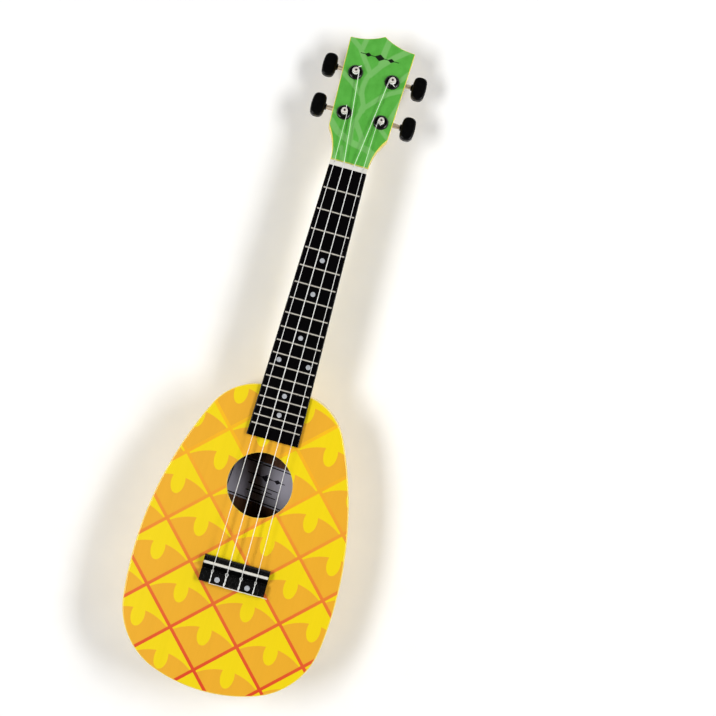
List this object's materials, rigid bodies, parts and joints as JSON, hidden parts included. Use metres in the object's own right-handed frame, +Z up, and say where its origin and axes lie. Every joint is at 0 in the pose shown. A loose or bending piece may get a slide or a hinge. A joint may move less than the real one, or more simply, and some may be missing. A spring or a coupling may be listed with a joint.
{
  "type": "ukulele",
  "caption": "Concert ukulele with an egg-shaped hollow body, fruit-skin face print, fretted neck, tie-bar bridge, leaf-print head and worm-geared tuners.",
  "frame": {"origin": "centre of the bounding box's footprint, on the plane of the flat back", "axes": "+Z up out of the soundboard, +Y from the tail to the head, +X to the right seen from the front"},
  "size_m": [0.192, 0.6263, 0.0753],
  "materials": {
    "face_print": "printed and lacquered, satin gloss",
    "body_lacquer": "yellow lacquer, gloss",
    "raw_wood": "unfinished",
    "label_paper": "matt paper",
    "neck_lacquer": "yellow lacquer, gloss",
    "head_print": "printed and lacquered, satin gloss",
    "fretboard_wood": "blackened, satin",
    "bridge_wood": "blackened, satin",
    "nickel": "nickel plated",
    "fret_wire": "nickel silver, worn satin",
    "steel": "nickel plated pressed steel",
    "brass": "machined",
    "pearl": "pearl plastic",
    "bone": "polished cream plastic",
    "nylon": "translucent white nylon",
    "bushing_black": "moulded, gloss",
    "button_black": "moulded, gloss"
  },
  "bodies": {
    "instrument": {"soundboard": "face_print", "back_plate": "body_lacquer", "side_left": "body_lacquer", "side_right": "body_lacquer", "neck_block": "raw_wood", "tail_block": "raw_wood", "top_linings": "raw_wood", "back_linings": "raw_wood", "top_brace_upper": "raw_wood", "top_brace_lower": "raw_wood", "fan_braces": "raw_wood", "bridge_plate": "raw_wood", "back_braces": "raw_wood", "soundhole_label": "label_paper", "neck_dowels": "raw_wood", "neck": "neck_lacquer", "heel": "neck_lacquer", "heel_cap": "fretboard_wood", "head_veneer": "head_print", "fretboard": "fretboard_wood", "frets": "fret_wire", "position_dots": "pearl", "nut": "bone", "saddle": "bone", "bridge": "bridge_wood", "bridge_screws": "steel", "bridge_screw_caps": "pearl", "bridge_nuts": "steel", "post_bushings": "bushing_black", "tuner_plates": "steel", "tuner_screws": "steel", "string_g": "nylon", "string_c": "nylon", "string_e": "nylon", "string_a": "nylon"},
    "g_button": {"worm_shaft_g": "steel", "button_g": "button_black"},
    "g_post": {"post_g": "nickel", "gear_g": "brass", "gear_screw_g": "steel", "winding_g": "nylon"},
    "c_button": {"worm_shaft_c": "steel", "button_c": "button_black"},
    "c_post": {"post_c": "nickel", "gear_c": "brass", "gear_screw_c": "steel", "winding_c": "nylon"},
    "e_button": {"worm_shaft_e": "steel", "button_e": "button_black"},
    "e_post": {"post_e": "nickel", "gear_e": "brass", "gear_screw_e": "steel", "winding_e": "nylon"},
    "a_button": {"worm_shaft_a": "steel", "button_a": "button_black"},
    "a_post": {"post_a": "nickel", "gear_a": "brass", "gear_screw_a": "steel", "winding_a": "nylon"}
  },
  "joints": [
    {"name": "g_button_turn", "type": "hinge", "parent": "instrument", "child": "g_button", "pos_m": [-0.0175, 0.23546, 0.03762], "axis": [1, 0, 0], "continuous": true},
    {"name": "g_post_turn", "type": "hinge", "parent": "instrument", "child": "g_post", "pos_m": [-0.0175, 0.23281, 0.05547], "axis": [0, 0.225, 0.9744], "continuous": true},
    {"name": "c_button_turn", "type": "hinge", "parent": "instrument", "child": "c_button", "pos_m": [-0.0175, 0.27502, 0.02848], "axis": [1, 0, 0], "continuous": true},
    {"name": "c_post_turn", "type": "hinge", "parent": "instrument", "child": "c_post", "pos_m": [-0.0175, 0.27237, 0.04634], "axis": [0, 0.225, 0.9744], "continuous": true},
    {"name": "e_button_turn", "type": "hinge", "parent": "instrument", "child": "e_button", "pos_m": [0.0175, 0.27502, 0.02848], "axis": [1, 0, 0], "continuous": true},
    {"name": "e_post_turn", "type": "hinge", "parent": "instrument", "child": "e_post", "pos_m": [0.0175, 0.27237, 0.04634], "axis": [0, 0.225, 0.9744], "continuous": true},
    {"name": "a_button_turn", "type": "hinge", "parent": "instrument", "child": "a_button", "pos_m": [0.0175, 0.23546, 0.03762], "axis": [1, 0, 0], "continuous": true},
    {"name": "a_post_turn", "type": "hinge", "parent": "instrument", "child": "a_post", "pos_m": [0.0175, 0.23281, 0.05547], "axis": [0, 0.225, 0.9744], "continuous": true}
  ],
  "couplings": [
    {"joint": "g_post_turn", "follows": "g_button_turn", "ratio": -0.071429},
    {"joint": "c_post_turn", "follows": "c_button_turn", "ratio": -0.071429},
    {"joint": "e_post_turn", "follows": "e_button_turn", "ratio": 0.071429},
    {"joint": "a_post_turn", "follows": "a_button_turn", "ratio": 0.071429}
  ]
}
